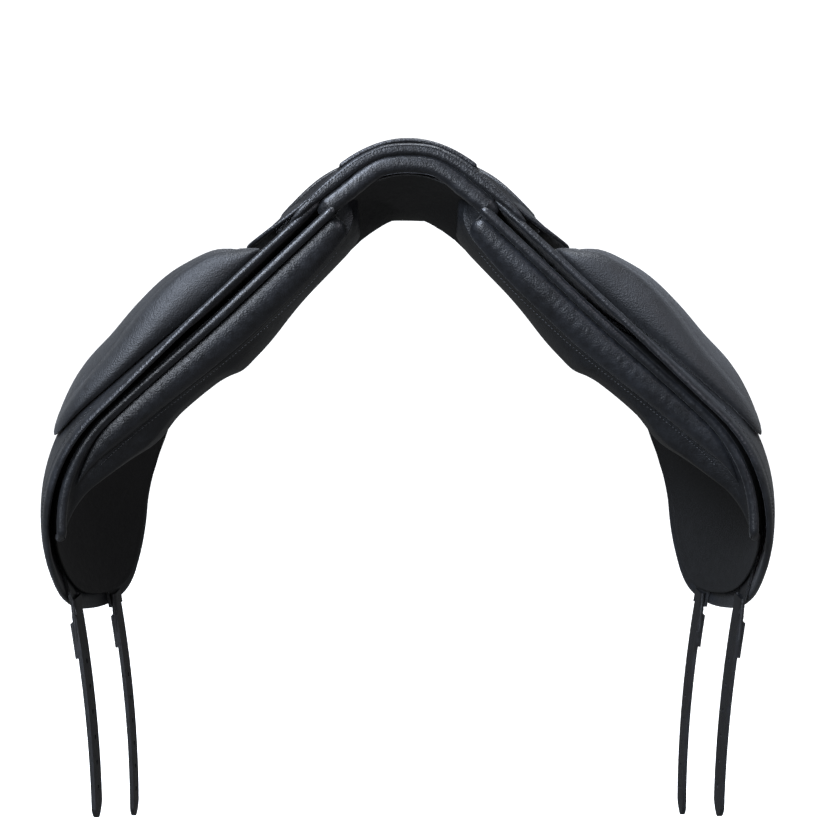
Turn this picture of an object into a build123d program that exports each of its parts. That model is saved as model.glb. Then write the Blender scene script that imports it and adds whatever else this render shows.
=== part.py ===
from build123d import *
from math import cos, radians, sin
import os

# English riding saddle in millimetres: +X is its near (left) side, +Y its rear, +Z up.
# It is drawn in a frame with Y = 0 at the pommel's front and Z = 0 at the pommel's top,
# and written out with the origin in the channel where a saddle rack's rail carries it.
RACK_Y = 230.0
RACK_DROP = 60.0

# Seat.
SEAT_LENGTH = 461.0
PANEL_JOINT_Y = 300.0
CHANNEL_HALF = 42.0
COVER_THICK = 2.5
TREE_THICK = 8.0
TREE_INSET = 12.0
HEAD_PLATE_THICK = 4.0
SPRING_THICK = 2.5
WEB_THICK = 1.8
LINING_THICK = 2.0
WELT_WIDTH = 2.5
WELT_DEPTH = 5.0
BINDING_DEPTH = 13.0
BINDING_WIDTH = 6.0
ROLL_DEPTH = 12.5
ROLL_LENGTH = 17.0
PLY_GAP = 0.3

# Sides: each flap falls as a straight slope, then an arc that tucks its lower edge in.
SLOPE_DEG = 43.0
SLOPE_TOP = (64.0, -47.0)
SLOPE_LENGTH = 270.0
TUCK_RADIUS = 140.0
TUCK_END_DEG = 105.0
PLY_LEAN_DEG = 25.5
FLAP_THICK = 7.0
UNDER_FLAP_THICK = 2.5
BILLET_THICK = 4.0
BILLET_WIDTH = 25.0
SIDE_GAP = 0.6
FLAP_TOP = 0.0

# Flap and skirt hinge lines, as a place down the slope and a height off it.
FLAP_HINGE_DOWN = 86.0
FLAP_HINGE_OFF = 26.0
FLAP_CUT_GAP = 1.0
SKIRT_OFF = 22.0
SKIRT_THICK = 4.0
SKIRT_FRONT = (15.0, -14.0)
SKIRT_REAR = (180.0, 34.0)

# Knee block.
BLOCK_TOP_DOWN = 92.5
BLOCK_GAP = 0.2

# Girth billets.
BILLET_Y = {"front": 90.0, "rear": 210.0}
BILLET_HANG = {"front": 203.0, "rear": 230.0}
BILLET_EDGE_GAP = 4.0
BILLET_ARC = 1400.0
BILLET_LEAN_DEG = 8.0
HOLE_RADIUS = 2.5
HOLE_PITCH = 25.0
HOLE_COUNT = 6
TIP_TO_HOLE = 30.0
KEEPER_LENGTH = 34.0
KEEPER_THICK = 3.0

# Stirrup bars, in the slope's own frame: along Y, down the slope, and off it.
BAR_FRONT = 62.0
BAR_LENGTH = 84.0
BAR_WIDTH = 8.0
BAR_THICK = 4.5
BAR_DOWN = 55.0
PLATE_DOWN = 35.0
PLATE_WIDTH = 14.0
PLATE_THICK = 4.0
STRAP_ROOM = 5.0
CATCH_LENGTH = 15.0
CATCH_THICK = 2.2
PIN_RADIUS = 1.5
PIN_PLAY = 0.05
RIVET_RADIUS = 2.0
RIVET_HEAD = 4.0
RIVET_HEAD_THICK = 1.6

PIPING_RADIUS = 4.0
PIPING_OFF = -12.0
PIPING_Y = 2.0
PIPING_TOP = 24.0
PIPING_TURN_DEG = 46.0
GUSSET_DEPTH = 14.0

PARTS = "parts"


def smooth(at, knots):
    """Cubic curve through hand-set (place, value) knots, straight on past both ends."""
    places = [knot[0] for knot in knots]
    values = [knot[1] for knot in knots]
    slopes = []
    for i in range(len(knots)):
        a = max(i - 1, 0)
        b = min(i + 1, len(knots) - 1)
        slopes.append((values[b] - values[a]) / (places[b] - places[a]))
    if at <= places[0]:
        return values[0] + slopes[0] * (at - places[0])
    if at >= places[-1]:
        return values[-1] + slopes[-1] * (at - places[-1])
    i = max(n for n in range(len(knots) - 1) if places[n] <= at)
    span = places[i + 1] - places[i]
    t = (at - places[i]) / span
    rise = values[i + 1] - values[i]
    bend_a = slopes[i] * span - rise
    bend_b = rise - slopes[i + 1] * span
    return values[i] + rise * t + t * (1 - t) * (bend_a * (1 - t) + bend_b * t)


# ---------------------------------------------------------------- seat surfaces
SEAT_HALF = [(0, 60), (60, 66), (110, 76), (160, 90), (220, 108), (280, 128), (340, 141), (460, 146)]
SPINE = [(0, 0), (40, -2), (110, -14), (170, -25), (220, -30), (280, -27), (340, -12), (400, 14),
         (440, 35), (461, 42)]
SIDE_DROP = [(0, 24), (60, 22), (110, 24), (160, 25), (220, 24), (280, 22), (340, 33), (400, 47),
             (440, 55), (461, 60)]
FOAM = [(0, 8), (60, 11), (120, 18), (200, 7), (230, 6), (300, 6), (340, 10), (461, 10)]
CEILING = [(0, -27), (60, -45), (120, -58), (200, -54.5), (230, -53), (290, -49), (340, -42),
           (400, -20), (440, 0), (461, 8)]
CEILING_DROP = [(0, 29), (60, 15), (120, 8), (200, 24), (230, 26), (340, 26), (400, 30), (461, 20)]
LENGTH_SCALE = SEAT_LENGTH / 461.0


def across(u, y, rise, drop):
    """A point at u half-widths from the centre line, on a ridge that falls off to the sides."""
    at = y / LENGTH_SCALE
    return (u * smooth(at, SEAT_HALF), y, smooth(at, rise) - smooth(at, drop) * u * u)


def seat_top(u, y):
    return across(u, y, SPINE, SIDE_DROP)


def tree_top(u, y):
    x, y, z = seat_top(u, y)
    return (x, y, z - COVER_THICK - smooth(y / LENGTH_SCALE, FOAM))


def ceiling(u, y):
    return across(u, y, CEILING, CEILING_DROP)


def grid_face(point, us, vs):
    return Face.make_surface_from_array_of_points([[Vector(*point(u, v)) for v in vs] for u in us])


def steps(low, high, count):
    return [low + (high - low) * i / (count - 1) for i in range(count)]


ACROSS = steps(-1.3, 1.3, 11)
ALONG = steps(-20.0, SEAT_LENGTH + 25.0, 17)
SEAT_FACE = grid_face(seat_top, ACROSS, ALONG)
TREE_FACE = grid_face(tree_top, ACROSS, ALONG)
CEILING_FACE = grid_face(ceiling, ACROSS, ALONG)


def pull(face, low, high, way=(0, 0, 1)):
    """The solid that a face sweeps from one height to another along a direction."""
    way = Vector(*way)
    return Solid.extrude(face.moved(Location(way * low)), way * (high - low))


PLAN = [(0, 3), (32, 5), (53, 11), (62, 26), (66, 60), (76, 110), (90, 160), (108, 220), (128, 280),
        (140, 340), (133, 400), (101, 440), (52, 457), (0, 461)]


def plan_points(grow):
    """Half of the seat's outline from above, moved out square to itself."""
    half = [(x, y * LENGTH_SCALE) for x, y in PLAN]
    ring = [(-half[1][0], half[1][1])] + half + [(-half[-2][0], half[-2][1])]
    out = []
    for i in range(1, len(ring) - 1):
        along = Vector(ring[i + 1][0] - ring[i - 1][0], ring[i + 1][1] - ring[i - 1][1]).normalized()
        out.append((ring[i][0] + along.Y * grow, ring[i][1] - along.X * grow))
    return out


def plan_prism(grow=0.0):
    half = plan_points(grow)
    ring = half + [(-x, y) for x, y in reversed(half[1:-1])]
    return extrude(Pos(0, 0, -250) * make_face(Spline(*ring, periodic=True)), amount=500)


def block(x0, x1, y0, y1, z0=-250.0, z1=250.0):
    """A plain cutting block between two corners."""
    return Pos((x0 + x1) / 2, (y0 + y1) / 2, (z0 + z1) / 2) * Box(x1 - x0, y1 - y0, z1 - z0)


# ---------------------------------------------------------------- side surfaces
BULGE = [(-40, -12), (0, 3), (40, 18), (90, 30), (150, 34), (210, 29), (270, 10), (320, -13), (360, -32)]
BULGE_FROM = 120.0
BULGE_FULL = 270.0
TUCK_TURN = TUCK_END_DEG - SLOPE_DEG
TUCK_LENGTH = TUCK_RADIUS * radians(TUCK_TURN)


def side_point(down, y, off=0.0):
    """A point this far down the flap's fall, at this Y, standing off its inner face."""
    slope = radians(SLOPE_DEG)
    line = min(down, SLOPE_LENGTH)
    x = SLOPE_TOP[0] + line * cos(slope)
    z = SLOPE_TOP[1] - line * sin(slope)
    turned = min(max(down - SLOPE_LENGTH, 0.0), TUCK_LENGTH) / TUCK_RADIUS
    heading = slope + turned
    x += TUCK_RADIUS * (sin(heading) - sin(slope))
    z += TUCK_RADIUS * (cos(heading) - cos(slope))
    rest = max(down - SLOPE_LENGTH - TUCK_LENGTH, 0.0)
    x += rest * cos(heading)
    z -= rest * sin(heading)
    t = min(max((down - BULGE_FROM) / (BULGE_FULL - BULGE_FROM), 0.0), 1.0)
    stand = off + smooth(y, BULGE) * t * t * (3 - 2 * t)
    return (x + stand * sin(heading), y, z + stand * cos(heading))


DOWN = steps(-40.0, 540.0, 26)
BACK = steps(-40.0, 360.0, 15)
LEAN = (cos(radians(PLY_LEAN_DEG)), 0.0, sin(radians(PLY_LEAN_DEG)))
SIDE_FACE = grid_face(side_point, DOWN, BACK)


def side_layer(low, high):
    return pull(SIDE_FACE, low, high, LEAN)


def side_prism(points):
    """An outline in the side view, swept sideways through the near side of the saddle."""
    face = make_face(Plane.YZ * Spline(*points, periodic=True))
    return Pos(20, 0, 0) * extrude(face, amount=420)


def slope_plane(down=0.0, off=0.0):
    """Local X is the saddle's +Y, local Y is up the slope, and local Z is straight off it."""
    slope = radians(SLOPE_DEG)
    x = SLOPE_TOP[0] + down * cos(slope) + off * sin(slope)
    z = SLOPE_TOP[1] - down * sin(slope) + off * cos(slope)
    return Plane(origin=(x, 0, z), x_dir=(0, 1, 0), z_dir=(sin(slope), 0, cos(slope)))


def slope_box(y0, y1, down0, down1, off0, off1):
    """A box laid on the slope, given along Y, down the slope and off it."""
    at = Pos((y0 + y1) / 2, -(down0 + down1) / 2, (off0 + off1) / 2)
    return slope_plane() * at * Box(y1 - y0, down1 - down0, off1 - off0)


def slope_pin(y, down, off0, off1, radius):
    """A round pin standing straight off the slope."""
    at = Pos(y, -down, (off0 + off1) / 2)
    return slope_plane() * at * Cylinder(radius, off1 - off0)


FLAP_OUTLINE = [(4, -56), (-8, -120), (-15, -200), (-8, -280), (14, -345), (50, -394), (105, -428),
                (165, -446), (215, -452), (252, -443), (284, -414), (312, -370), (336, -318),
                (334, -262), (270, -150), (238, -102), (215, -90), (120, -70), (30, -54)]
UNDER_OUTLINE = [(12, -62), (4, -120), (-2, -200), (4, -275), (25, -335), (60, -382), (112, -416),
                 (168, -434), (214, -440), (246, -431), (274, -404), (300, -364), (324, -316),
                 (322, -262), (260, -158), (228, -110), (208, -98), (120, -78), (36, -62)]
BLOCK_OUTLINE = [(14, -70), (10, -120), (9, -170), (14, -225), (30, -258), (60, -268), (88, -246),
                 (104, -190), (108, -130), (100, -70), (60, -40)]


def lower_half(cut_down):
    """All that lies further down the flap than its hinge line."""
    return slope_box(-60, 380, cut_down, cut_down + 500, -400, 400)


def flap_pieces():
    outline = side_prism(FLAP_OUTLINE)
    flap = side_layer(FLAP_TOP, FLAP_TOP + FLAP_THICK) & outline
    lower = flap & lower_half(FLAP_HINGE_DOWN + FLAP_CUT_GAP / 2)
    upper = flap - lower_half(FLAP_HINGE_DOWN - FLAP_CUT_GAP / 2)
    for y in rivet_places():
        upper -= slope_pin(y, PLATE_DOWN, -20, 20, RIVET_RADIUS + PIN_PLAY)
    return upper, lower


def under_flap():
    high = -BILLET_THICK - 2 * SIDE_GAP
    return side_layer(high - UNDER_FLAP_THICK, high) & side_prism(UNDER_OUTLINE)


PANEL_FACE_OFF = -BILLET_THICK - UNDER_FLAP_THICK - 3 * SIDE_GAP
PANEL_DEPTH = [(-10, 24), (6, 34), (20, 43), (40, 51), (70, 56), (120, 52), (200, 42), (260, 38), (330, 35)]
PANEL_FALL = [(-40, 0.5), (0, 0.58), (20, 0.72), (40, 0.8), (80, 0.9), (122, 1.04), (168, 1.18), (192, 1.14),
              (234, 1.18), (265, 1.24), (300, 1.1), (330, 0.88), (360, 0.6), (400, 0.38), (540, 0.3)]


def panel_inside(down, y):
    return side_point(down, y, -smooth(y, PANEL_DEPTH) * smooth(down, PANEL_FALL))


def panel_pieces():
    """The stuffed front panel and the gusset let into its front."""
    front = PIPING_RADIUS + 2.5
    outline = [(front - 0.01, -30), (front, -120), (front, -210), (front + 1, -300), (12, -342), (24, -357),
               (52, -355), (100, -343), (140, -325), (168, -298), (198, -260), (240, -215), (282, -177),
               (340, -140), (340, -20), (180, -10)]
    inside = grid_face(panel_inside, DOWN, BACK)
    whole = side_layer(PANEL_FACE_OFF - 110, PANEL_FACE_OFF) & side_prism(outline)
    whole = whole & block(CHANNEL_HALF, 400, -50, PANEL_JOINT_Y, -450, 100)
    whole = whole & pull(inside, 0, 150, LEAN)
    whole = whole - pull(CEILING_FACE, -PLY_GAP, 300)
    split = front + GUSSET_DEPTH
    panel = whole & block(0, 400, split, 400, -450, 100)
    gusset = whole & block(0, 400, -50, split - PLY_GAP, -450, 100)
    return panel, gusset


REAR_FLOOR = [(280, -80), (300, -79), (360, -72), (440, -64), (480, -61)]
REAR_FALL = [(280, 0.95), (300, 0.93), (360, 0.75), (440, 0.6), (480, 0.55)]


def rear_floor(x, y):
    at = y / LENGTH_SCALE
    return (x, y, smooth(at, REAR_FLOOR) - smooth(at, REAR_FALL) * (x - CHANNEL_HALF))


def rear_panel():
    floor = grid_face(rear_floor, steps(20, 190, 6), steps(PANEL_JOINT_Y - 15, SEAT_LENGTH + 20, 6))
    solid = pull(CEILING_FACE, -300, -PLY_GAP) & plan_prism(-10)
    solid = solid & block(CHANNEL_HALF, 400, PANEL_JOINT_Y + PLY_GAP, SEAT_LENGTH - 14)
    return solid & pull(floor, 0, 300)


def piping():
    """The round welt down the panel's front edge: the flap's own line and arc, set in."""
    slope = radians(SLOPE_DEG)
    way = Vector(cos(slope), 0, -sin(slope))
    inward = Vector(-sin(slope), 0, -cos(slope))
    top = Vector(SLOPE_TOP[0], PIPING_Y, SLOPE_TOP[1]) - inward * PIPING_OFF
    start = top + way * PIPING_TOP
    end = top + way * SLOPE_LENGTH
    radius = TUCK_RADIUS + PIPING_OFF
    turn = radians(PIPING_TURN_DEG)
    centre = end + inward * radius
    last = centre + Vector(sin(slope + turn), 0, cos(slope + turn)) * radius
    middle = centre + Vector(sin(slope + turn / 2), 0, cos(slope + turn / 2)) * radius
    path = Wire([Edge.make_line(start, end), Edge.make_three_point_arc(end, middle, last)])
    profile = Plane(origin=start, z_dir=way) * Circle(PIPING_RADIUS)
    return sweep(profile, path=path)


BLOCK_RISE = [(80, 10), (91, 18), (108, 32), (137, 41), (160, 42), (190, 37), (230, 26), (272, 18), (309, 8), (335, 4),
              (400, 3)]
BLOCK_CROSS = [(-20, 0.6), (10, 0.8), (35, 1.0), (60, 0.95), (95, 0.6), (120, 0.3)]


def block_outside(down, y):
    rise = max(smooth(down, BLOCK_RISE), 2.0) * smooth(y, BLOCK_CROSS)
    return side_point(down, y, FLAP_THICK * 0.93 + rise)


def knee_block():
    outside = grid_face(block_outside, steps(60, 400, 18), steps(-15, 125, 9))
    low = FLAP_TOP + FLAP_THICK + BLOCK_GAP
    solid = side_layer(low, low + 90) & side_prism(BLOCK_OUTLINE) & lower_half(BLOCK_TOP_DOWN)
    return solid & pull(outside, -100, 0, LEAN)


def skirt():
    """The small flap over the stirrup bar, flat on a plane that stands off the slope."""
    (y0, d0), (y1, d1) = SKIRT_FRONT, SKIRT_REAR
    reach = FLAP_HINGE_DOWN + 1.0
    corners = [(y0, d0), (y0 - 1, d0 + 50), (y0 + 4, reach - 18), (y0 + 24, reach), (y0 + 80, reach - 2),
               (y1 - 25, reach - 14), (y1 + 4, reach - 34), (y1, d1)]
    points = [(y, -d) for y, d in corners]
    rim = [Line(points[-1], points[0]), Spline(*points)]
    base = slope_plane(0.0, SKIRT_OFF - SKIRT_THICK) * make_face(rim)
    return extrude(base, amount=SKIRT_THICK)


# ---------------------------------------------------------------- stirrup bar
BAR_LOW = FLAP_THICK + STRAP_ROOM


def rivet_places():
    return [BAR_FRONT + 18, BAR_FRONT + 44, BAR_FRONT + 70]


def stirrup_bar():
    plate_low = FLAP_THICK + PLY_GAP
    top = PLATE_DOWN - PLATE_WIDTH / 2
    bottom = BAR_DOWN + BAR_WIDTH / 2
    high = BAR_LOW + BAR_THICK
    bar = slope_box(BAR_FRONT, BAR_FRONT + 78, top, top + PLATE_WIDTH, plate_low, plate_low + PLATE_THICK)
    bar += slope_box(BAR_FRONT, BAR_FRONT + 9, top, bottom, plate_low, high)
    bar += slope_box(BAR_FRONT, BAR_FRONT + BAR_LENGTH, bottom - BAR_WIDTH, bottom, BAR_LOW, high)
    lap = BAR_FRONT + BAR_LENGTH - 11
    bar -= slope_box(lap, lap + 20, bottom - 20, bottom + 1, high - CATCH_THICK - PLY_GAP, high + 5)
    bar -= slope_pin(catch_pivot(), BAR_DOWN, 0, 40, PIN_RADIUS)
    for y in rivet_places():
        bar -= slope_pin(y, PLATE_DOWN, 0, 40, RIVET_RADIUS)
    return bar


def catch_pivot():
    return BAR_FRONT + BAR_LENGTH - 5


def thumb_catch():
    high = BAR_LOW + BAR_THICK
    low = high - CATCH_THICK
    y = catch_pivot()
    arm = slope_box(y, y + CATCH_LENGTH - 4, BAR_DOWN - 3.5, BAR_DOWN + 3.5, low, high)
    arm += slope_pin(y, BAR_DOWN, low, high, 4.0)
    arm += slope_pin(y + CATCH_LENGTH - 4, BAR_DOWN, low, high, 4.0)
    return arm - slope_pin(y, BAR_DOWN, 0, 40, PIN_RADIUS + PIN_PLAY)


def catch_pin():
    return slope_pin(catch_pivot(), BAR_DOWN, BAR_LOW, BAR_LOW + BAR_THICK, PIN_RADIUS)


def bar_rivets():
    top = FLAP_THICK + PLY_GAP + PLATE_THICK
    out_of_slope = (sin(radians(SLOPE_DEG)), 0, cos(radians(SLOPE_DEG)))
    out = []
    for y in rivet_places():
        shank = slope_pin(y, PLATE_DOWN, 0.5, top + 0.2, RIVET_RADIUS)
        head = slope_pin(y, PLATE_DOWN, top, top + RIVET_HEAD_THICK, RIVET_HEAD)
        rim = head.edges().sort_by(Axis(head.center(), out_of_slope))[-1]
        out.append(fillet(rim, 1.0) + shank)
    return out


# ---------------------------------------------------------------- billets
def billet_web(name):
    """The upper billet, between the flap and the under flap."""
    y = BILLET_Y[name]
    half = BILLET_WIDTH / 2
    low_z, high_z = billet_edge(name) + 1.0, -95.0
    strip = block(20, 420, y - half, y + half, low_z, high_z)
    high = -SIDE_GAP
    return side_layer(high - BILLET_THICK, high) & strip


def outline_bottom(y):
    """Height of the flap's lower edge at this Y."""
    ring = FLAP_OUTLINE[5:13]
    return smooth(y, ring[:6])


def billet_edge(name):
    """Height of the billet's bend, just under the flap's edge over the strap's whole width."""
    y, half = BILLET_Y[name], BILLET_WIDTH / 2
    return min(outline_bottom(y - half), outline_bottom(y), outline_bottom(y + half)) - BILLET_EDGE_GAP


def web_down(name):
    """How far down the fall the billet leaves the flap."""
    low, high = 300.0, 540.0
    y, z = BILLET_Y[name], billet_edge(name)
    for _ in range(40):
        mid = (low + high) / 2
        if side_point(mid, y)[2] > z:
            low = mid
        else:
            high = mid
    return low


def billet_hinge(name):
    """Middle of the strap's thickness where it leaves the flap."""
    x, y, z = side_point(web_down(name), BILLET_Y[name])
    away = SIDE_GAP + BILLET_THICK / 2
    return Vector(x - away * LEAN[0], y, billet_edge(name))


def billet_frame(name, fallen):
    """Centre of the strap and its lean from plumb, this far along from its hinge."""
    lean = radians(BILLET_LEAN_DEG)
    start = billet_hinge(name)
    angle = lean - fallen / BILLET_ARC
    x = start.X - BILLET_ARC * (cos(angle) - cos(lean))
    z = start.Z - BILLET_ARC * (sin(lean) - sin(angle))
    return Vector(x, start.Y, z), angle


def strap(name, near, far, inner, outer, width):
    """A length of strap along the billet's hanging arc, between two depths of its thickness."""
    def spot(fallen, depth):
        at, angle = billet_frame(name, fallen)
        return (at.X + depth * cos(angle), at.Z - depth * sin(angle))
    middle = (near + far) / 2
    rim = [ThreePointArc(spot(near, inner), spot(middle, inner), spot(far, inner)),
           Line(spot(far, inner), spot(far, outer)),
           ThreePointArc(spot(far, outer), spot(middle, outer), spot(near, outer)),
           Line(spot(near, outer), spot(near, inner))]
    y = BILLET_Y[name]
    face = Plane(origin=(0, y + width / 2, 0), x_dir=(1, 0, 0), z_dir=(0, -1, 0)) * make_face(rim)
    return extrude(face, amount=width)


def billet(name):
    half = BILLET_THICK / 2
    hang = BILLET_HANG[name]
    body = strap(name, 1.0, hang, -half, half, BILLET_WIDTH)
    tip, _ = billet_frame(name, hang)
    y = BILLET_Y[name]
    shoulder = BILLET_WIDTH * 0.9
    rim = [Line((y - 13, tip.Z + 400), (y - 13, tip.Z + shoulder)),
           ThreePointArc((y - 13, tip.Z + shoulder), (y - 9.5, tip.Z + 7.0), (y, tip.Z)),
           ThreePointArc((y, tip.Z), (y + 9.5, tip.Z + 7.0), (y + 13, tip.Z + shoulder)),
           Line((y + 13, tip.Z + shoulder), (y + 13, tip.Z + 400)),
           Line((y + 13, tip.Z + 400), (y - 13, tip.Z + 400))]
    body = body & extrude(Plane.YZ * make_face(rim), amount=500)
    for i in range(HOLE_COUNT):
        at, angle = billet_frame(name, hang - TIP_TO_HOLE - i * HOLE_PITCH)
        across_strap = Plane(origin=at, x_dir=(0, 1, 0), z_dir=(cos(angle), 0, -sin(angle)))
        body -= across_strap * Cylinder(HOLE_RADIUS, 30)
    return body


def keeper(name):
    """The doubled leather stitched to the outside of the billet's top."""
    low = BILLET_THICK / 2
    return strap(name, 8.0, 8.0 + KEEPER_LENGTH, low, low + KEEPER_THICK, BILLET_WIDTH - 2)


# ---------------------------------------------------------------- centre pieces
def seat_cover():
    return pull(SEAT_FACE, -COVER_THICK, 0) & plan_prism() & block(-250, 250, BINDING_WIDTH, 600)


def seat_foam():
    foam = pull(SEAT_FACE, -150, -COVER_THICK - PLY_GAP) & plan_prism(-1.0)
    foam = foam & block(-250, 250, ROLL_LENGTH - 2, 600)
    return foam & pull(TREE_FACE, WEB_THICK + 2 * PLY_GAP, 200)


def straining_webs():
    layer = pull(TREE_FACE, PLY_GAP, PLY_GAP + WEB_THICK)
    return [layer & block(s * 32 - 14, s * 32 + 14, 45, SEAT_LENGTH - 60) for s in (-1, 1)]


def tree():
    wood = pull(TREE_FACE, -TREE_THICK, 0) & plan_prism(-TREE_INSET)
    window = Pos(0, 250 * LENGTH_SCALE, 0) * extrude(RectangleRounded(64, 170, 28), amount=250, both=True)
    return (wood & block(-250, 250, ROLL_LENGTH - 2, 600)) - window


def head_plate():
    low = -TREE_THICK - PLY_GAP
    layer = pull(TREE_FACE, low - HEAD_PLATE_THICK, low)
    return layer & block(-46, 46, ROLL_LENGTH + 1, 58)


def tree_springs():
    low = -TREE_THICK - PLY_GAP
    layer = pull(TREE_FACE, low - SPRING_THICK, low)
    return [layer & block(s * 44 - 5, s * 44 + 5, 70, 285 * LENGTH_SCALE) for s in (-1, 1)]


def channel_lining():
    layer = pull(CEILING_FACE, 0, LINING_THICK)
    return layer & plan_prism(-14) & block(-52, 52, ROLL_LENGTH - 2, 420 * LENGTH_SCALE)


def gullet_roll():
    low = -BINDING_DEPTH - 2 - ROLL_DEPTH
    roll = pull(SEAT_FACE, low, low + ROLL_DEPTH) & block(-62, 62, -4, ROLL_LENGTH - 4 - PLY_GAP)
    return roll


def pommel_binding():
    band = pull(SEAT_FACE, -BINDING_DEPTH, 0)
    return band & block(-57, 57, -2, BINDING_WIDTH - PLY_GAP)


def seat_rim():
    """The narrow band just outside the seat cover's edge."""
    band = pull(SEAT_FACE, 1.0 - WELT_DEPTH, 1.0)
    return band & (plan_prism(PLY_GAP + WELT_WIDTH) - plan_prism(PLY_GAP))


RIM_JOINT_Y = 335.0


def seat_welts():
    return seat_rim() & block(-250, 250, 30, RIM_JOINT_Y * LENGTH_SCALE - PLY_GAP)


def cantle_binding():
    return seat_rim() & block(-250, 250, RIM_JOINT_Y * LENGTH_SCALE, 600)


STUD_RADIUS = 5.0
STUD_PLACES = [(0.62, 40.0), (0.9, 300.0)]


def saddle_studs():
    """Domed nail heads on the seat, two a side."""
    out = []
    for u, y in STUD_PLACES:
        x, y, z = seat_top(u, y * LENGTH_SCALE)
        disc = Pos(x, y, z + 0.5) * Cylinder(STUD_RADIUS, 5.0)
        disc = fillet(disc.edges().sort_by(Axis.Z)[-1], 1.2) - pull(SEAT_FACE, -20, 0.05)
        out += [disc, mirror(disc, Plane.YZ)]
    return out


# ---------------------------------------------------------------- writing
def solids_of(shape):
    if isinstance(shape, (list, tuple)):
        return [solid for item in shape for solid in solids_of(item)]
    return list(shape.solids())


def write(name, shape):
    solids = [Pos(0, -RACK_Y, RACK_DROP) * solid for solid in solids_of(shape)]
    export_step(solids[0] if len(solids) == 1 else Compound(children=solids), f"{PARTS}/{name}.step")


def write_pair(name, shape):
    """The near piece and its mirror image on the off side."""
    write(f"{name}_near", shape)
    write(f"{name}_off", [mirror(solid, Plane.YZ) for solid in solids_of(shape)])


os.makedirs(PARTS, exist_ok=True)
write("tree", tree())
write("head_plate", head_plate())
write("tree_springs", tree_springs())
write("straining_webs", straining_webs())
write("seat_foam", seat_foam())
write("seat_cover", seat_cover())
write("seat_welts", seat_welts())
write("cantle_binding", cantle_binding())
write("pommel_binding", pommel_binding())
write("gullet_roll", gullet_roll())
write("channel_lining", channel_lining())
write("saddle_studs", saddle_studs())
flap_upper, flap_lower = flap_pieces()
write_pair("flap_upper", flap_upper)
write_pair("flap_lower", flap_lower)
write_pair("under_flap", under_flap())
panel, gusset = panel_pieces()
write_pair("panel", panel)
write_pair("panel_gusset", gusset)
write_pair("rear_panel", rear_panel())
write_pair("panel_piping", piping())
write_pair("knee_block", knee_block())
write_pair("skirt", skirt())
write_pair("stirrup_bar", stirrup_bar())
write_pair("thumb_catch", thumb_catch())
write_pair("catch_pin", catch_pin())
write_pair("bar_rivets", bar_rivets())
for place in BILLET_Y:
    write_pair(f"billet_web_{place}", billet_web(place))
    write_pair(f"billet_{place}", billet(place))
    write_pair(f"billet_keeper_{place}", keeper(place))
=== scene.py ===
from math import cos, pi, radians, sin, sqrt

import bmesh
import bpy
from mathutils import Matrix, Vector, noise


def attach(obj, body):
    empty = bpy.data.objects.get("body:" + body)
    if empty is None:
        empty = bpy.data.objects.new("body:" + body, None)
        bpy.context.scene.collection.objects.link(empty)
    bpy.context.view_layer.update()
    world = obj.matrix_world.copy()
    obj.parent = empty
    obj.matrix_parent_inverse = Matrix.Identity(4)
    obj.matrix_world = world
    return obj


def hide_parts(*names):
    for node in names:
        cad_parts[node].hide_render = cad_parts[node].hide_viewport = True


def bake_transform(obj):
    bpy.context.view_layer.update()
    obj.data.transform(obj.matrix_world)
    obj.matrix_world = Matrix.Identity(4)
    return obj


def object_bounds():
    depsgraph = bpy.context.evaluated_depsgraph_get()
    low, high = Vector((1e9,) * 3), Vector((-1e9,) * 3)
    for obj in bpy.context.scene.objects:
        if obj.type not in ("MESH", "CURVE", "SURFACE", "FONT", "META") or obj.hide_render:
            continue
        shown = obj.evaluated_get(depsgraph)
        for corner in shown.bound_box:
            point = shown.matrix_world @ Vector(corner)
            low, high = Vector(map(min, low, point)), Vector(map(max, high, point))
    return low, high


bl_info = {
    "name": "Riding Saddle Maker",
    "version": (1, 0, 0),
    "blender": (4, 5, 0),
    "location": "3D Viewport > Sidebar > Saddle",
    "description": "Builds the leather of an English riding saddle round its packed frame",
    "category": "Object",
}

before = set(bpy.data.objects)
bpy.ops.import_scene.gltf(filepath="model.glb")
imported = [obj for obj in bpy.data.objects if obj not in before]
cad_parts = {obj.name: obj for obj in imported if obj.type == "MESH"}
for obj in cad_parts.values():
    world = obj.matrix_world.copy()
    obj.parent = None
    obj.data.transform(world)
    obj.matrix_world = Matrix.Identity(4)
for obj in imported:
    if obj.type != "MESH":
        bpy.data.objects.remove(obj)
CAD_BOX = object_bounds()

# The saddle is worked out in millimetres from the pommel's front and top, then put into the frame.
RACK_Y = 230.0
RACK_DROP = 60.0
MM = 0.001
SIDES = (("near", 1.0), ("off", -1.0))

# ------------------------------------------------------------------ curves and surfaces


def smooth(at, knots):
    """Cubic curve through given (place, value) knots, straight on past both ends."""
    places = [knot[0] for knot in knots]
    values = [knot[1] for knot in knots]
    last = len(knots) - 1
    slopes = []
    for i in range(len(knots)):
        a, b = max(i - 1, 0), min(i + 1, last)
        slopes.append((values[b] - values[a]) / (places[b] - places[a]))
    if at <= places[0]:
        return values[0] + slopes[0] * (at - places[0])
    if at >= places[-1]:
        return values[-1] + slopes[-1] * (at - places[-1])
    i = max(n for n in range(last) if places[n] <= at)
    span = places[i + 1] - places[i]
    t = (at - places[i]) / span
    rise = values[i + 1] - values[i]
    bend_a = slopes[i] * span - rise
    bend_b = rise - slopes[i + 1] * span
    return values[i] + rise * t + t * (1 - t) * (bend_a * (1 - t) + bend_b * t)


def ease(t):
    t = min(max(t, 0.0), 1.0)
    return t * t * (3 - 2 * t)


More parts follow.
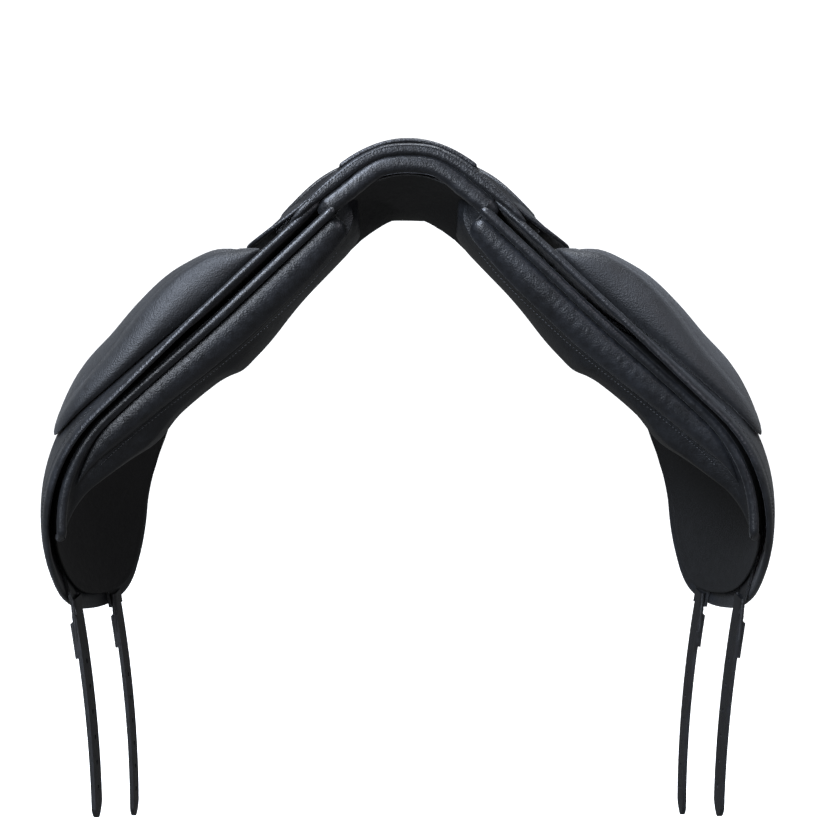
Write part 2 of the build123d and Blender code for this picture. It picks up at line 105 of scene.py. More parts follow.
SLOPE = radians(43.0)
SLOPE_TOP = (64.0, -47.0)
SLOPE_LENGTH = 270.0
TUCK_RADIUS = 140.0
TUCK_TURN = radians(62.0)
BULGE = [(-40, -12), (0, 3), (40, 18), (90, 30), (150, 34), (210, 29), (270, 10), (320, -13), (360, -32)]
BULGE_FROM = 120.0
BULGE_FULL = 270.0


def side(down, y, off=0.0):
    """Point on the near flap's fall, standing off its inner face, in pommel millimetres."""
    line = min(down, SLOPE_LENGTH)
    turned = min(max(down - SLOPE_LENGTH, 0.0), TUCK_RADIUS * TUCK_TURN) / TUCK_RADIUS
    heading = SLOPE + turned
    rest = max(down - SLOPE_LENGTH - TUCK_RADIUS * TUCK_TURN, 0.0)
    x = SLOPE_TOP[0] + line * cos(SLOPE) + TUCK_RADIUS * (sin(heading) - sin(SLOPE)) + rest * cos(heading)
    z = SLOPE_TOP[1] - line * sin(SLOPE) + TUCK_RADIUS * (cos(heading) - cos(SLOPE)) - rest * sin(heading)
    stand = off + smooth(y, BULGE) * ease((down - BULGE_FROM) / (BULGE_FULL - BULGE_FROM))
    return Vector((x + stand * sin(heading), y, z + stand * cos(heading)))


def down_at(y, z):
    """How far down the fall the flap's inner face reaches this height."""
    low, high = -60.0, 560.0
    for _ in range(22):
        mid = (low + high) / 2
        if side(mid, y).z > z:
            low = mid
        else:
            high = mid
    return low


SEAT_HALF = [(0, 60), (60, 66), (110, 76), (160, 90), (220, 108), (280, 128), (340, 141), (460, 146)]
SPINE = [(0, 0), (40, -2), (110, -14), (170, -25), (220, -30), (280, -27), (340, -12), (400, 14),
         (440, 35), (461, 42)]
SIDE_DROP = [(0, 24), (60, 22), (110, 24), (160, 25), (220, 24), (280, 22), (340, 33), (400, 47),
             (440, 55), (461, 60)]
CEILING = [(0, -27), (60, -45), (120, -58), (200, -54.5), (230, -53), (290, -49), (340, -42),
           (400, -20), (440, 0), (461, 8)]
CEILING_DROP = [(0, 29), (60, 15), (120, 8), (200, 24), (230, 26), (340, 26), (400, 30), (461, 20)]
PLAN = [(0, 3), (32, 5), (53, 11), (62, 26), (66, 60), (76, 110), (90, 160), (108, 220), (128, 280),
        (140, 340), (133, 400), (101, 440), (52, 457), (0, 461)]


def seat_z(x, y):
    return smooth(y, SPINE) - smooth(y, SIDE_DROP) * (x / smooth(y, SEAT_HALF)) ** 2


def ceiling_z(x, y):
    return smooth(y, CEILING) - smooth(y, CEILING_DROP) * (x / smooth(y, SEAT_HALF)) ** 2


def round_curve(points, t):
    """Closed Catmull-Rom curve through 2-D points, for t from 0 to 1."""
    count = len(points)
    at = (t % 1.0) * count
    i = int(at)
    f = at - i
    p = [points[(i + k) % count] for k in (-1, 0, 1, 2)]
    out = []
    for a, b, c, d in zip(*p):
        out.append(0.5 * (2 * b + (c - a) * f + (2 * a - 5 * b + 4 * c - d) * f * f
                          + (3 * b - a - 3 * c + d) * f ** 3))
    return out


def into_frame(point, sign=1.0):
    """Pommel millimetres to frame metres, on either side."""
    return Vector((point[0] * sign, point[1] - RACK_Y, point[2] + RACK_DROP)) * MM


def ripple(point, scale, seed=0.0):
    """Smooth unevenness of hand-stuffed leather, about -1 to 1."""
    return noise.noise(Vector((point[0] / scale + seed, point[1] / scale, point[2] / scale)))


# ------------------------------------------------------------------ meshes


def patch(name, across, along, place, sign=1.0, smooth_levels=1):
    """A grid bent into shape by place(u, v), closed where its edges meet."""
    bm = bmesh.new()
    bmesh.ops.create_grid(bm, x_segments=across, y_segments=along, size=0.5)
    for vert in bm.verts:
        vert.co = into_frame(place(vert.co.x + 0.5, vert.co.y + 0.5), sign)
    bmesh.ops.remove_doubles(bm, verts=bm.verts, dist=0.00003)
    bmesh.ops.recalc_face_normals(bm, faces=bm.faces)
    return finish_mesh(name, bm, smooth_levels)


def finish_mesh(name, bm, smooth_levels=0):
    mesh = bpy.data.meshes.new(name)
    bm.to_mesh(mesh)
    bm.free()
    mesh.shade_smooth()
    piece = bpy.data.objects.new(name, mesh)
    bpy.context.scene.collection.objects.link(piece)
    if smooth_levels:
        soften = piece.modifiers.new("soften", "SUBSURF")
        soften.levels = smooth_levels
        soften.render_levels = smooth_levels
    return piece


def tube(name, path, radius, rings, around, sign=1.0):
    """A round welt along path(t), closed at both ends."""
    def place(u, v):
        t = min(max(v, 0.0), 1.0)
        at = path(t)
        ahead = (path(min(t + 0.004, 1.0)) - path(max(t - 0.004, 0.0))).normalized()
        side_way = ahead.cross(Vector((0.0, 0.2, 1.0))).normalized()
        up = side_way.cross(ahead).normalized()
        size = radius * min(1.0, sqrt(max(min(t, 1 - t), 0.0) * rings / 1.5))
        angle = 2 * pi * u
        return at + side_way * cos(angle) * size + up * sin(angle) * size
    return patch(name, around, rings, place, sign, 0)


def stitches(name, lines, sign=1.0, pitch=3.6, thread=0.45):
    """Saddler's stitches as small seeds of thread along (path, length, way-out) lines."""
    bm = bmesh.new()
    for path, length, out in lines:
        count = max(int(length / pitch), 2)
        for i in range(count):
            t = (i + 0.5) / count
            at = path(t)
            ahead = (path(min(t + 0.003, 1.0)) - path(max(t - 0.003, 0.0))).normalized()
            up = out(t).normalized()
            cross = up.cross(ahead).normalized()
            up = ahead.cross(cross)
            ahead = (ahead + cross * 0.18).normalized()
            seed = bmesh.ops.create_icosphere(bm, subdivisions=1, radius=1.0)
            turn = Matrix((ahead * pitch * 0.42, cross * thread, up * thread)).transposed().to_4x4()
            turn.translation = at
            for vert in seed["verts"]:
                vert.co = into_frame(turn @ vert.co, sign)
    if sign < 0:
        bmesh.ops.reverse_faces(bm, faces=bm.faces)
    return finish_mesh(name, bm)


RIM_STATIONS = [i / 18 for i in range(19)]


def plate_rows(roll, insets):
    """Rows from the middle of one face, over the rim, to the middle of the other."""
    face = [("part", part) for part in RIM_STATIONS] + [("inset", inset) for inset in insets]
    edge = [("inset", roll * (1 - sin(angle * pi / 2))) for angle in (0.0, 0.35, 0.65, 0.88, 1.0)]
    top = [(1, kind, value) for kind, value in face + edge]
    return top + [(-1, kind, value) for kind, value in reversed(face + edge[:-1])]


def plate(name, outline, middle, high, low, roll, insets, put, around, sign=1.0):
    """A padded leather leaf: an outline in the surface's own two sizes, two heights and a rolled rim."""
    rows = plate_rows(roll, insets)
    last = len(rows) - 1
    ring = [round_curve(outline, i / around) for i in range(around)]

    def place(u, v):
        rim = ring[round(u * around) % around]
        face, kind, value = rows[round(v * last)]
        arm = Vector((rim[0] - middle[0], rim[1] - middle[1]))
        reach = arm.length
        if kind == "part":
            share = value * (reach - insets[0] - 4.0) / reach
            inset = reach * (1 - share)
        else:
            inset = value
            share = (reach - inset) / reach
        a, b = middle[0] + arm.x * share, middle[1] + arm.y * share
        top, bottom = high(a, b, inset), low(a, b, inset)
        swell = sqrt(max(1 - (1 - min(inset / roll, 1.0)) ** 2, 0.0))
        half = (top - bottom) / 2 * swell
        return put(a, b, (top + bottom) / 2 + face * half)
    return patch(name, around, last, place, sign, 0)


def groove(inset, at, width=1.6, depth=0.9):
    """The shallow channel that a row of stitches pulls into the leather."""
    return -depth * max(0.0, 1 - abs(inset - at) / width)


# ------------------------------------------------------------------ leather, thread, metal


def linear(code):
    """A hex colour, as seen on screen, turned to the linear values that a shader takes."""
    parts = [int(code[i:i + 2], 16) / 255 for i in (1, 3, 5)]
    return [c / 12.92 if c <= 0.04045 else ((c + 0.055) / 1.055) ** 2.4 for c in parts] + [1.0]


def add_node(tree, kind, links=(), **settings):
    """Adds a node, sets its sockets and properties by name, and links what feeds it."""
    node = tree.nodes.new(kind)
    for name, value in settings.items():
        if name in node.inputs:
            node.inputs[name].default_value = value
        else:
            setattr(node, name, value)
    for source, socket in links:
        tree.links.new(source, node.inputs[socket])
    return node


def start_material(name, **surface):
    material = bpy.data.materials.new(name)
    material.use_nodes = True
    tree = material.node_tree
    shader = tree.nodes["Principled BSDF"]
    for socket, value in surface.items():
        shader.inputs[socket.replace("_", " ")].default_value = value
    place = add_node(tree, "ShaderNodeTexCoord").outputs["Object"]
    return material, tree, shader, place


def per_mm(size):
    """Texture scale for a feature of this many millimetres."""
    return 1000.0 / size


def mix_colours(tree, factor, low, high):
    ramp = add_node(tree, "ShaderNodeValToRGB", [(factor, "Fac")])
    ramp.color_ramp.elements[0].color = linear(low)
    ramp.color_ramp.elements[1].color = linear(high)
    return ramp


def dyed_leather(name, deep, worn, grain, rough, creases=0.0, crease_turn=(0.0, 0.0, 0.0), sheen=0.0,
                 grain_depth=0.5, coat=0.0):
    """Drum-dyed cowhide: pebbled grain in cells, finer pores, slow unevenness and soft creases."""
    material, tree, shader, place = start_material(name, IOR=1.48)
    shader.inputs["Coat Weight"].default_value = coat
    shader.inputs["Coat Roughness"].default_value = 0.35
    shader.inputs["Sheen Weight"].default_value = sheen
    shader.inputs["Sheen Roughness"].default_value = 0.45
    patchy = add_node(tree, "ShaderNodeTexNoise", [(place, "Vector")], Scale=per_mm(55.0), Detail=4.0,
                      Roughness=0.6)
    rubbed = add_node(tree, "ShaderNodeTexNoise", [(place, "Vector")], Scale=per_mm(7.0), Detail=5.0,
                      Roughness=0.7)
    both = add_node(tree, "ShaderNodeMath", [(patchy.outputs["Fac"], 0), (rubbed.outputs["Fac"], 1)],
                    operation="MULTIPLY")
    spread = add_node(tree, "ShaderNodeMapRange", [(both.outputs["Value"], "Value")])
    spread.inputs["From Min"].default_value = 0.15
    spread.inputs["From Max"].default_value = 0.42
    colour = mix_colours(tree, spread.outputs["Result"], deep, worn)
    tree.links.new(colour.outputs["Color"], shader.inputs["Base Color"])
    shine = add_node(tree, "ShaderNodeMapRange", [(rubbed.outputs["Fac"], "Value")])
    shine.inputs["From Min"].default_value = 0.3
    shine.inputs["From Max"].default_value = 0.7
    shine.inputs["To Min"].default_value = rough - 0.07
    shine.inputs["To Max"].default_value = rough + 0.08
    tree.links.new(shine.outputs["Result"], shader.inputs["Roughness"])
    cells = add_node(tree, "ShaderNodeTexVoronoi", [(place, "Vector")], feature="SMOOTH_F1",
                     Scale=per_mm(grain), Smoothness=0.6, Randomness=1.0)
    pores = add_node(tree, "ShaderNodeTexNoise", [(place, "Vector")], Scale=per_mm(grain * 0.45), Detail=3.0)
    bumps = add_node(tree, "ShaderNodeBump", [(pores.outputs["Fac"], "Height")], Strength=0.25,
                     Distance=0.0004)
    bumps = add_node(tree, "ShaderNodeBump",
                     [(cells.outputs["Distance"], "Height"), (bumps.outputs["Normal"], "Normal")],
                     Strength=grain_depth, Distance=0.0006)
    if creases:
        turned = add_node(tree, "ShaderNodeMapping", [(place, "Vector")], Rotation=crease_turn,
                          Scale=(1.0, 0.22, 0.28))
        folds = add_node(tree, "ShaderNodeTexNoise", [(turned.outputs["Vector"], "Vector")],
                         Scale=per_mm(5.0), Detail=3.0, Distortion=0.6)
        bumps = add_node(tree, "ShaderNodeBump",
                         [(folds.outputs["Fac"], "Height"), (bumps.outputs["Normal"], "Normal")],
                         Strength=creases, Distance=0.0022)
    tree.links.new(bumps.outputs["Normal"], shader.inputs["Normal"])
    return material


def waxed_thread(name, code):
    """Waxed linen thread: two plies laid over each other."""
    material, tree, shader, place = start_material(name, Roughness=0.55, IOR=1.5)
    plies = add_node(tree, "ShaderNodeTexWave", [(place, "Vector")], Scale=per_mm(1.4), Distortion=1.0)
    bump = add_node(tree, "ShaderNodeBump", [(plies.outputs["Fac"], "Height")], Strength=0.4,
                    Distance=0.0003)
    fuzz = add_node(tree, "ShaderNodeTexNoise", [(place, "Vector")], Scale=per_mm(3.0))
    colour = mix_colours(tree, fuzz.outputs["Fac"], "#0c0c0d", code)
    tree.links.new(colour.outputs["Color"], shader.inputs["Base Color"])
    tree.links.new(bump.outputs["Normal"], shader.inputs["Normal"])
    return material


def polished_metal(name, low, high, rough, scratch):
    """Forged or plated metal, linished one way and rubbed in use."""
    material, tree, shader, place = start_material(name, Metallic=1.0)
    lined = add_node(tree, "ShaderNodeMapping", [(place, "Vector")], Scale=(1.0, 0.06, 1.0))
    marks = add_node(tree, "ShaderNodeTexNoise", [(lined.outputs["Vector"], "Vector")],
                     Scale=per_mm(scratch), Detail=4.0)
    colour = mix_colours(tree, marks.outputs["Fac"], low, high)
    tree.links.new(colour.outputs["Color"], shader.inputs["Base Color"])
    shine = add_node(tree, "ShaderNodeMapRange", [(marks.outputs["Fac"], "Value")])
    shine.inputs["To Min"].default_value = rough
    shine.inputs["To Max"].default_value = rough + 0.2
    tree.links.new(shine.outputs["Result"], shader.inputs["Roughness"])
    bump = add_node(tree, "ShaderNodeBump", [(marks.outputs["Fac"], "Height")], Strength=0.15,
                    Distance=0.0002)
    tree.links.new(bump.outputs["Normal"], shader.inputs["Normal"])
    return material


def woven_web(name, low, high):
    """Flax webbing: a plain weave of threads, drawn at 1.6 mm so that it shows."""
    material, tree, shader, place = start_material(name, Roughness=0.85)
    warp = add_node(tree, "ShaderNodeTexWave", [(place, "Vector")], Scale=per_mm(10.0), bands_direction="X")
    weft = add_node(tree, "ShaderNodeTexWave", [(place, "Vector")], Scale=per_mm(10.0), bands_direction="Y")
    cloth = add_node(tree, "ShaderNodeMath", [(warp.outputs["Fac"], 0), (weft.outputs["Fac"], 1)],
                     operation="MULTIPLY")
    colour = mix_colours(tree, cloth.outputs["Value"], low, high)
    tree.links.new(colour.outputs["Color"], shader.inputs["Base Color"])
    bump = add_node(tree, "ShaderNodeBump", [(cloth.outputs["Value"], "Height")], Strength=0.6,
                    Distance=0.0006)
    tree.links.new(bump.outputs["Normal"], shader.inputs["Normal"])
    return material


def varnished_ply(name, low, high):
    """Beech laminate stained dark and varnished: long grain bands under a thin gloss."""
    material, tree, shader, place = start_material(name, Roughness=0.35)
    long_way = add_node(tree, "ShaderNodeMapping", [(place, "Vector")], Scale=(1.0, 0.08, 1.0))
    grain = add_node(tree, "ShaderNodeTexNoise", [(long_way.outputs["Vector"], "Vector")], Scale=per_mm(6.0),
                     Detail=6.0)
    colour = mix_colours(tree, grain.outputs["Fac"], low, high)
    tree.links.new(colour.outputs["Color"], shader.inputs["Base Color"])
    bump = add_node(tree, "ShaderNodeBump", [(grain.outputs["Fac"], "Height")], Strength=0.2,
                    Distance=0.0004)
    tree.links.new(bump.outputs["Normal"], shader.inputs["Normal"])
    return material


MATERIALS = {}


def material_for(key):
    """Makes each finish once, from the colours in the panel."""
    if key not in MATERIALS:
        look = bpy.context.scene.saddle_colours
        MATERIALS[key] = {
            "flap": lambda: dyed_leather("flap_leather", look.dye, look.worn, 1.5, 0.4, 0.2, sheen=0.05),
            "seat": lambda: dyed_leather("seat_leather", look.dye, look.worn, 1.1, 0.36, 0.12, coat=0.08),
            "block": lambda: dyed_leather("block_leather", look.dye, look.block, 1.3, 0.55, 0.05, sheen=0.12,
                                          grain_depth=0.6),
            "soft": lambda: dyed_leather("soft_leather", look.dye, look.worn, 1.5, 0.38, 0.13,
                                         (0.0, radians(43), 0.0), sheen=0.05, grain_depth=0.35),
            "panel": lambda: dyed_leather("panel_leather", look.dye, look.block, 1.4, 0.45, 0.3),
            # The lining's tones, from #050505 to the lining colour, are darker than the other hides: the
            # lining's own black with painted shade for the channel and under the flaps.
            "lining": lambda: dyed_leather("lining_leather_painted_shade", "#050505", look.lining, 1.2, 0.7, 0.3),
            "billet": lambda: dyed_leather("billet_leather", "#0b0a0a", look.block, 1.0, 0.5, 0.15),
            "thread": lambda: waxed_thread("waxed_thread", look.thread),
            "steel": lambda: polished_metal("forged_steel", "#5a5b5d", "#a9abad", 0.22, 1.2),
            "nickel": lambda: polished_metal("nickel_plate", "#8a8883", "#d8d5cf", 0.12, 2.0),
            "web": lambda: woven_web("flax_web", "#6d6350", "#b5a98a"),
            "foam": lambda: woven_web("seat_foam_skin", "#8f8768", "#c7be9c"),
            "ply": lambda: varnished_ply("stained_beech_ply", "#1e140d", "#3d2a1b"),
        }[key]()
    return MATERIALS[key]


def dress(piece, key, slot, body, *nodes):
    """Gives a piece its finish, its body and the frame nodes that it stands for."""
    piece.data.materials.clear()
    piece.data.materials.append(material_for(key))
    if body:
        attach(piece, body)
    if nodes:
        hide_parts(*nodes)
    return piece


# ------------------------------------------------------------------ outlines and sections

# Outlines are (Y, down the fall), or (Y, Z) where the name says so. The other tables give a size or a
# share of it along Y or down the fall. All are in pommel millimetres.
FLAP_EDGE_YZ = [(4, -56), (-8, -120), (-15, -200), (-8, -280), (14, -345), (50, -394), (105, -428),
                (165, -446), (215, -452), (252, -443), (284, -414), (312, -370), (336, -318),
                (334, -262), (270, -150), (238, -102), (215, -90), (120, -70), (30, -54)]
UNDER_EDGE_YZ = [(12, -62), (4, -120), (-2, -200), (4, -275), (25, -335), (60, -382), (112, -416),
                 (168, -434), (214, -440), (246, -431), (274, -404), (300, -364), (324, -316),
                 (322, -262), (260, -158), (228, -110), (208, -98), (120, -78), (36, -62)]
BLOCK_EDGE = [(8, 83), (0, 140), (-3, 190), (-1, 240), (8, 284), (28, 312), (58, 319), (82, 300),
              (97, 252), (104, 200), (103, 150), (97, 108), (86, 84), (50, 80)]
SKIRT_EDGE = [(12, -17), (12, 20), (17, 62), (36, 86), (95, 85), (152, 74), (184, 56), (182, 36),
              (130, 21), (60, 1)]
FLAP_MIDDLE = (130.0, 250.0)
BLOCK_MIDDLE = (54.0, 200.0)
SKIRT_MIDDLE = (95.0, 45.0)
FLAP_TOP_OFF = 6.5
BLOCK_RISE = [(80, 10), (91, 18), (108, 32), (137, 41), (160, 42), (190, 37), (230, 26), (272, 18), (309, 8),
              (335, 4)]
BLOCK_CROSS = [(-20, 0.6), (10, 0.85), (35, 1.0), (60, 0.95), (95, 0.6), (120, 0.3)]
PANEL_DEPTH = [(-10, 24), (6, 34), (16, 41), (30, 48), (50, 54), (70, 56), (120, 52), (200, 42), (260, 38),
               (330, 35)]
PANEL_FALL = [(-40, 0.5), (0, 0.62), (20, 0.72), (40, 0.75), (80, 0.79), (122, 0.88), (150, 0.98), (168, 1.05),
              (178, 1.02), (192, 1.02), (234, 1.14), (265, 1.27), (300, 1.15), (330, 0.94), (360, 0.62),
              (400, 0.35)]
PANEL_REAR = [(-20, 316), (110, 316), (150, 296), (200, 258), (240, 228), (280, 200), (320, 172), (350, 145),
              (375, 112), (390, 80), (398, 55)]
GUSSET_INNER = [(0, 27), (14, 33), (40, 37), (70, 39.5), (120, 40), (235, 40), (290, 37), (330, 29),
                (360, 21)]
GUSSET_TOP = 9.0
GUSSET_BOTTOM = 346.0
CHANNEL_HALF = 42.0
REAR_FLOOR = [(280, -65), (300, -65), (360, -60), (440, -53), (480, -50)]
REAR_FALL = [(280, 0.9), (300, 0.9), (360, 0.78), (440, 0.66), (480, 0.6)]

# Half arches of the pommel, as (X, Z) from the middle outward: the facing, the padded roll, and the
# lining at the roll and deep in the channel.
FACING_PATH = [(0, -9.6), (12, -10.2), (24, -12.8), (42, -21.5), (59, -34), (80, -51.5), (100, -71)]
ROLL_PATH = [(0, -21), (12, -21.8), (23.5, -24.5), (36, -32), (51, -44), (76, -63)]
RIM_PATH = [(0, -27), (22, -31), (42, -42), (56, -54), (63, -62), (58, -69)]
DEEP_PATH = [(0, -58.0), (12, -60.6), (22, -65), (33, -71.5), (44, -79.5), (56, -88)]

# The camera stands in front of the pommel: place in frame metres, degrees down and aside, lens in mm.
CAMERA_AT = (0.0, -1.2534, -0.07)
CAMERA_PITCH = 5.738
CAMERA_PAN = -0.255
CAMERA_LENS = 52.213


def in_fall(edge):
    return [(y, down_at(y, z)) for y, z in edge]


def fall_put(y, down, off):
    return side(down, y, off)


def panel_off(y, down):
    """How far inside the flap the panel's horse side lies."""
    return -smooth(y, PANEL_DEPTH) * smooth(down, PANEL_FALL)


def skirt_stand(y, down):
    """How far the skirt's underside stands off the flap: close in front, out over the stirrup bar behind."""
    close = smooth(down, [(-30, 10.0), (10, 9.6), (40, 11.5), (87, 18.5)])
    close += (8.0 - close) * ease((y - 156) / 22)
    swell = ease((y - 22) / 36) * ease((184 - y) / 24) * ease((down - 8) / 26)
    return close + (18.4 - close) * swell


def gusset_line(share, down):
    """A place on the panel's slanted front, from the piping to the inner seam."""
    return 4.5 + 11.0 * share, -13.0 - (smooth(down, GUSSET_INNER) - 13.0) * share


def gusset_put(share, down, off):
    y, stand = gusset_line(share, down)
    return side(down, y - off * 0.93, stand - off * 0.37)


# ------------------------------------------------------------------ add-on


class SaddleColours(bpy.types.PropertyGroup):
    """Colours of the hides and thread, as hex codes."""
    dye: bpy.props.StringProperty(name="Dye", description="Deepest black of the hide", default="#0c0d0f")
    worn: bpy.props.StringProperty(name="Worn", description="Black where the hide is rubbed",
                                   default="#1d1f23")
    block: bpy.props.StringProperty(name="Block", description="Rubbed tone of blocks and panels",
                                    default="#191b1e")
    # The lining colour is darker than the other hides: the lining's own black with painted shade for the
    # channel and the under flaps.
    lining: bpy.props.StringProperty(name="Lining", description="Rubbed tone of the lining",
                                     default="#0b0b0a")
    thread: bpy.props.StringProperty(name="Thread", description="Lit tone of the thread", default="#3a3b3e")


class SaddleSizes(bpy.types.PropertyGroup):
    """Sizes of the soft detail, in millimetres."""
    stitch: bpy.props.FloatProperty(name="Stitch", description="Length from stitch to stitch", default=3.6,
                                    min=2.0, max=8.0)
    welt: bpy.props.FloatProperty(name="Welt", description="Radius of the panel's piping", default=4.2,
                                  min=2.0, max=6.0)
    crown: bpy.props.FloatProperty(name="Gusset crown", description="Height of the stuffed gusset",
                                   default=6.0, min=1.0, max=12.0)


class SADDLE_OT_flaps(bpy.types.Operator):
    """Two flaps of doubled hide with a rolled edge, their tops under the skirts"""
    bl_idname = "saddle.flaps"
    bl_label = "Flaps"

    def execute(self, context):
        edge = in_fall(FLAP_EDGE_YZ)

        def high(y, down, inset):
            seams = groove(inset, 11.0) + groove(inset, 16.0)
            return FLAP_TOP_OFF + seams + 0.5 * ripple((y, down, 0), 60)

        for name, sign in SIDES:
            flap = plate(f"flap_{name}", edge, FLAP_MIDDLE, high, lambda y, down, inset: 0.2, 4.5,
                         (22.0, 18.0, 16.0, 14.0, 11.0, 8.5, 6.0), fall_put, 150, sign)
            dress(flap, "flap", "black_leather", None, f"flap_upper_{name}", f"flap_lower_{name}")
            start = into_frame(side(64.0, 90.0, 3.0), sign)
            end = into_frame(side(108.0, 90.0, 3.0), sign)
            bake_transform(flap)
        return {"FINISHED"}


class SADDLE_OT_under_flaps(bpy.types.Operator):
    """Thin under flaps that keep the girth straps off the horse"""
    bl_idname = "saddle.under_flaps"
    bl_label = "Under flaps"

    def execute(self, context):
        edge = in_fall(UNDER_EDGE_YZ)
        for name, sign in SIDES:
            leaf = plate(f"under_flap_{name}", edge, FLAP_MIDDLE,
                         lambda y, down, inset: -4.9 + groove(inset, 6.0, 1.2, 0.4),
                         lambda y, down, inset: -7.2 - groove(inset, 6.0, 1.2, 0.4), 1.4,
                         (16.0, 8.0, 6.0, 4.0), fall_put, 130, sign)
            # The under flaps take the lining leather, darkened with painted shade.
            dress(leaf, "lining", "black_leather", "root", f"under_flap_{name}")
        return {"FINISHED"}


class SADDLE_OT_blocks(bpy.types.Operator):
    """Outside knee blocks: moulded foam under matt hide, standing on the flaps"""
    bl_idname = "saddle.blocks"
    bl_label = "Knee blocks"

    def execute(self, context):
        def high(y, down, inset):
            rise = max(smooth(down, BLOCK_RISE), 3.0) * smooth(y, BLOCK_CROSS)
            return FLAP_TOP_OFF + rise + groove(inset, 15.0, 2.0, 0.8) + 0.6 * ripple((y, down, 3), 45)

        for name, sign in SIDES:
            block = plate(f"knee_block_{name}", BLOCK_EDGE, BLOCK_MIDDLE, high,
                          lambda y, down, inset: FLAP_TOP_OFF + 0.2, 13.0, (24.0, 19.0, 15.0, 13.0),
                          fall_put, 110, sign)
            dress(block, "block", "block_leather", f"flap_{name}", f"knee_block_{name}")
        return {"FINISHED"}


class SADDLE_OT_skirts(bpy.types.Operator):
    """Skirts lying close at the pommel and swelling out over the stirrup bars"""
    bl_idname = "saddle.skirts"
    bl_label = "Skirts"

    def execute(self, context):
        for name, sign in SIDES:
            skirt = plate(f"skirt_{name}", SKIRT_EDGE, SKIRT_MIDDLE,
                          lambda y, down, inset: (skirt_stand(y, down) + 3.4 + groove(inset, 5.0, 1.5, 0.6)
                                                  + 0.4 * ripple((y, down, 7), 40)),
                          lambda y, down, inset: skirt_stand(y, down), 1.8, (14.0, 9.0, 6.5, 5.0, 3.5, 2.4),
                          fall_put, 260, sign)
            dress(skirt, "flap", "black_leather", f"skirt_{name}", f"skirt_{name}")
        return {"FINISHED"}


class SADDLE_OT_panels(bpy.types.Operator):
    """Stuffed panels, front and rear"""
    bl_idname = "saddle.panels"
    bl_label = "Panels"

    def execute(self, context):
        def front(u, v):
            down = -7.0 + 403.0 * v
            rear = smooth(down, PANEL_REAR)
            close = sqrt(max(1 - max((v - 0.9) / 0.1, (0.03 - v) / 0.03, 0.0) ** 2, 0.0))
            if u < 0.14:
                share = u / 0.14
                y, off = gusset_line(share, down)
                y += 1.6 * sin(pi * share)
            elif u < 0.6:
                share = (u - 0.14) / 0.46
                y, seam = gusset_line(1.0, down)
                y += (rear - y) * share ** 1.25
                plump = 1.5 * ripple((y, down, 11), 60)
                off = panel_off(y, down) * sqrt(max(1 - max((share - 0.72) / 0.28, 0.0) ** 2, 0.0)) - plump
                off = min(seam + (off - seam) * ease(share * 9) ** 0.6, -7.4)
            else:
                share = (u - 0.6) / 0.4
                y = rear + (4.5 - rear) * share
                off = -7.4 - 5.6 * ease((share - 0.9) / 0.1)
            down -= 12.0 * ease((0.08 - v) / 0.08) * ease((y - 14) / 26)
            point = side(down, y, -12.0 + (off + 12.0) * close)
            point.x = max(point.x, CHANNEL_HALF + 1.5)
            return point

        def rear_panel(u, v):
            y = 286.0 + 161.0 * v
            close = sqrt(max(1 - max((v - 0.84) / 0.16, 0.0) ** 2, 0.0)) * 0.97 + 0.03
            outer = smooth(y, [(280, 122), (340, 126), (400, 117), (440, 84), (450, 70)])
            angle = 2 * pi * u
            across = abs(cos(angle)) ** 0.5 * (1 if cos(angle) >= 0 else -1)
            upward = abs(sin(angle)) ** 0.6 * (1 if sin(angle) >= 0 else -1)
            x = (CHANNEL_HALF + outer) / 2 + across * (outer - CHANNEL_HALF) / 2 * close
            top = ceiling_z(x, y) - 0.6
            low = smooth(y, REAR_FLOOR) - smooth(y, REAR_FALL) * (x - CHANNEL_HALF)
            low += 2.0 * ripple((x, y, 5), 50)
            return Vector((x, y, (top + low) / 2 + upward * (top - low) / 2 * close))

        for name, sign in SIDES:
            panel = patch(f"panel_{name}", 110, 90, front, sign)
            dress(panel, "panel", "panel_leather", "root", f"panel_{name}")
            back = patch(f"rear_panel_{name}", 72, 40, rear_panel, sign)
            dress(back, "panel", "panel_leather", "root", f"rear_panel_{name}")
        return {"FINISHED"}


class SADDLE_OT_gussets(bpy.types.Operator):
    """Front gussets, stuffed and creased across, with the panels' piping"""
    bl_idname = "saddle.gussets"
    bl_label = "Gussets and piping"

    def execute(self, context):
        sizes = context.scene.saddle_sizes

        def gusset(u, v):
            down = GUSSET_TOP + (GUSSET_BOTTOM - GUSSET_TOP) * v
            narrow = sqrt(max(1 - (1 - min((down - GUSSET_TOP) / 9.0, 1.0)) ** 2, 0.0))
            narrow *= ease((GUSSET_BOTTOM - down) / 75.0) ** 0.55
            front = u < 0.72
            share = u / 0.72 if front else (1 - u) / 0.28
            arch = sin(pi * share) ** 0.62
            folds = sin(down / 1.5 + 3.0 * ripple((share * 22, down, 2), 16))
            folds *= ripple((share * 22, down, 9), 26)
            lift = (sizes.crown + 0.22 * folds if front else -3.0) * arch * narrow
            return gusset_put(0.5 + (share - 0.5) * narrow * 0.93, down, lift - 0.4)

        def piping(t):
            if t < 0.86:
                down = 5.0 + 381.0 * t / 0.86
                close = ease((down - 300) / 80)
                return side(down, 0.8 + 3.0 * close, -9.6)
            angle = (t - 0.86) / 0.14 * pi * 0.5
            return side(386.0 + 12.0 * sin(angle), 3.8 + 44.0 * (1 - cos(angle)), -9.6)

        for name, sign in SIDES:
            piece = patch(f"gusset_{name}", 44, 420, gusset, sign, 0)
            dress(piece, "soft", "soft_leather", "root", f"panel_gusset_{name}")
            welt = tube(f"panel_piping_{name}", piping, sizes.welt, 150, 14, sign)
            dress(welt, "soft", "soft_leather", "root", f"panel_piping_{name}")
        return {"FINISHED"}


